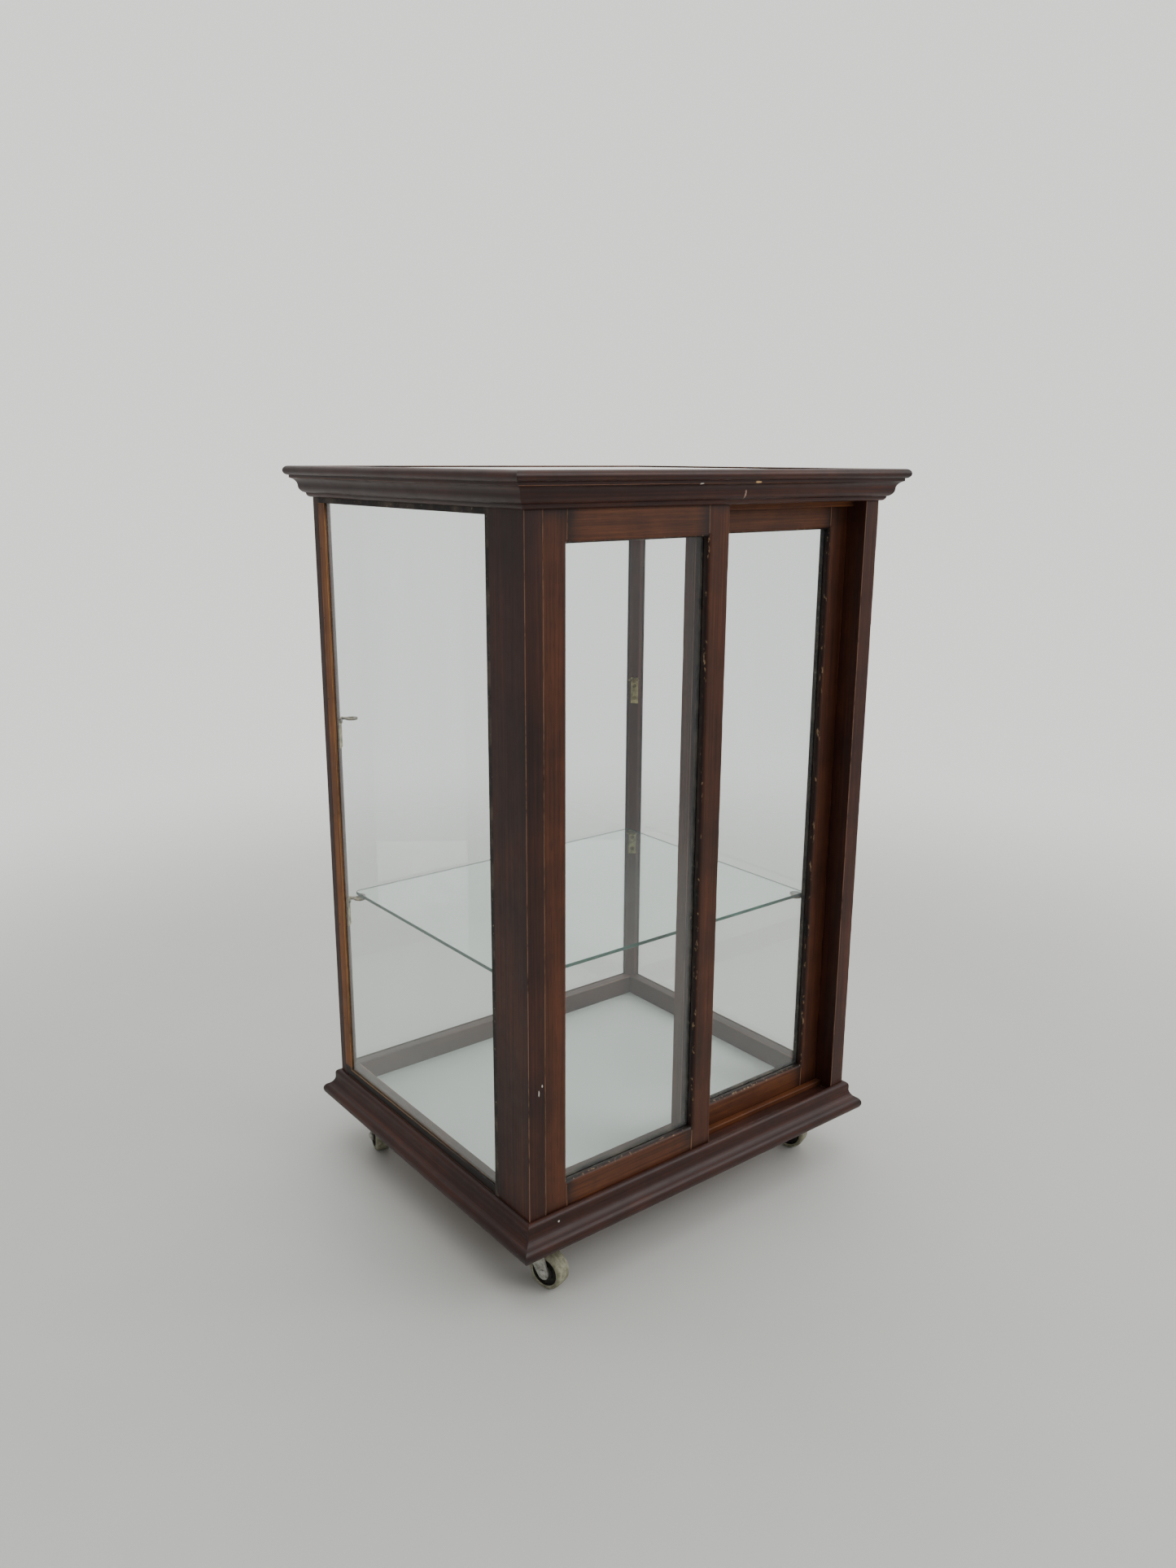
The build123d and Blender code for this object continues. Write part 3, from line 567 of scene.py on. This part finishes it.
bump = mix.add("ShaderNodeBump", None, {"Strength": 0.4, "Distance": 0.0005, "Height": blot})
wheel_rubber = mix.close(mix.add("ShaderNodeBsdfPrincipled", None, {
    "Base Color": tone, "Roughness": blot * 0.3 + 0.45, "Normal": bump}))
mix = Finish("wheel_hollow")
where = mix.add("ShaderNodeTexCoord", output=3)
blot = mix.cloud(where, (190.0, 190.0, 190.0), 4.0, 0.7)
tone = mix.blend(mix.step(blot, 0.4, 0.7), srgb(30, 29, 25), srgb(66, 63, 53))
wheel_hollow = mix.close(mix.add("ShaderNodeBsdfPrincipled", None, {
    "Base Color": tone, "Roughness": blot * 0.2 + 0.7}))
for node in ("caster_plates", "caster_screws"):
    made = piece(f"{node}_steel", worked(node, ease=0.0, nicks=0.0), "case", dull_zinc)
    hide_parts(node)


def turned(profile, centre, axis, count=72):
    """A shape turned on a lathe: profile is (radius, distance along the axis) from one end."""
    lathe = axis.to_track_quat("Z", "Y").to_matrix()
    bm = bmesh.new()
    rings = [[bm.verts.new(centre + lathe @ Vector((r * math.cos(i * math.tau / count),
                                                    r * math.sin(i * math.tau / count), along)))
              for i in range(count)] for r, along in profile]
    closed = profile[0][0] > 0.0001
    for k in range(len(rings) if closed else len(rings) - 1):
        here, there = rings[k], rings[(k + 1) % len(rings)]
        for i in range(count):
            bm.faces.new((here[i], here[(i + 1) % count], there[(i + 1) % count], there[i]))
    bmesh.ops.remove_doubles(bm, verts=bm.verts, dist=0.00002)
    bmesh.ops.recalc_face_normals(bm, faces=bm.faces)
    for face in bm.faces:
        face.smooth = True
    mesh = bpy.data.meshes.new("turned")
    bm.to_mesh(mesh)
    bm.free()
    mesh.set_sharp_from_angle(angle=math.radians(38))
    return mesh


# Half of the wheel's section in mm, from the bore by the hub and the hollow to the tread.
half_side = [(3.05, 9.2), (3.4, 9.5), (8.4, 9.5), (9.0, 9.0), (9.2, 6.0), (9.8, 5.5), (14.2, 5.5),
             (14.8, 6.0), (15.1, 9.1), (15.6, 9.5), (16.4, 9.5), (16.8, 9.1), (17.2, 9.4),
             (18.1, 9.1), (19.1, 8.4), (19.8, 7.3), (20.0, 6.3), (20.0, 4.2), (19.8, 4.0),
             (19.8, 3.6), (20.0, 3.4), (20.0, 0.0)]
hollow_radius = 0.0151
wheel_profile = [(r / 1000, a / 1000) for r, a in half_side]
wheel_profile += [(r, -a) for r, a in reversed(wheel_profile[:-1])]
rivet_radius, rivet_rise, rivet_root, rivet_place = 0.0047, 0.0023, 0.0004, 0.0123
dome_profile = [(rivet_radius * math.cos(t * math.pi / 20), rivet_rise * math.sin(t * math.pi / 20))
                for t in range(11)]
dome_profile = [(0.0, -rivet_root), (rivet_radius, -rivet_root)] + dome_profile
for corner in ("front_left", "front_right", "back_left", "back_right"):
    made = piece(f"{corner}_fork_steel", worked(f"{corner}_caster_fork", ease=0.0, nicks=0.0),
                 f"{corner}_fork", dull_zinc)
    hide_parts(f"{corner}_caster_fork")
    low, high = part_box(f"{corner}_caster_wheel")
    hub = (low + high) / 2
    axle = Vector(next(j["axis"] for j in frame["joints"] if j["name"] == f"{corner}_roll")).normalized()
    for end in (-1, 1):
        dome = turned(dome_profile, hub + axle * end * rivet_place, axle * end, 40)
        made = piece(f"{corner}_rivet_{'outer' if end > 0 else 'inner'}", dome, f"{corner}_fork", dull_zinc)
    made = piece(f"{corner}_wheel_tread", turned(wheel_profile, hub, axle), f"{corner}_wheel", wheel_rubber,
                 wheel_hollow)
    for face in made.data.polygons:
        away = face.center - hub
        face.material_index = int((away - axle * away.dot(axle)).length < hollow_radius)
    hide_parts(f"{corner}_caster_wheel")
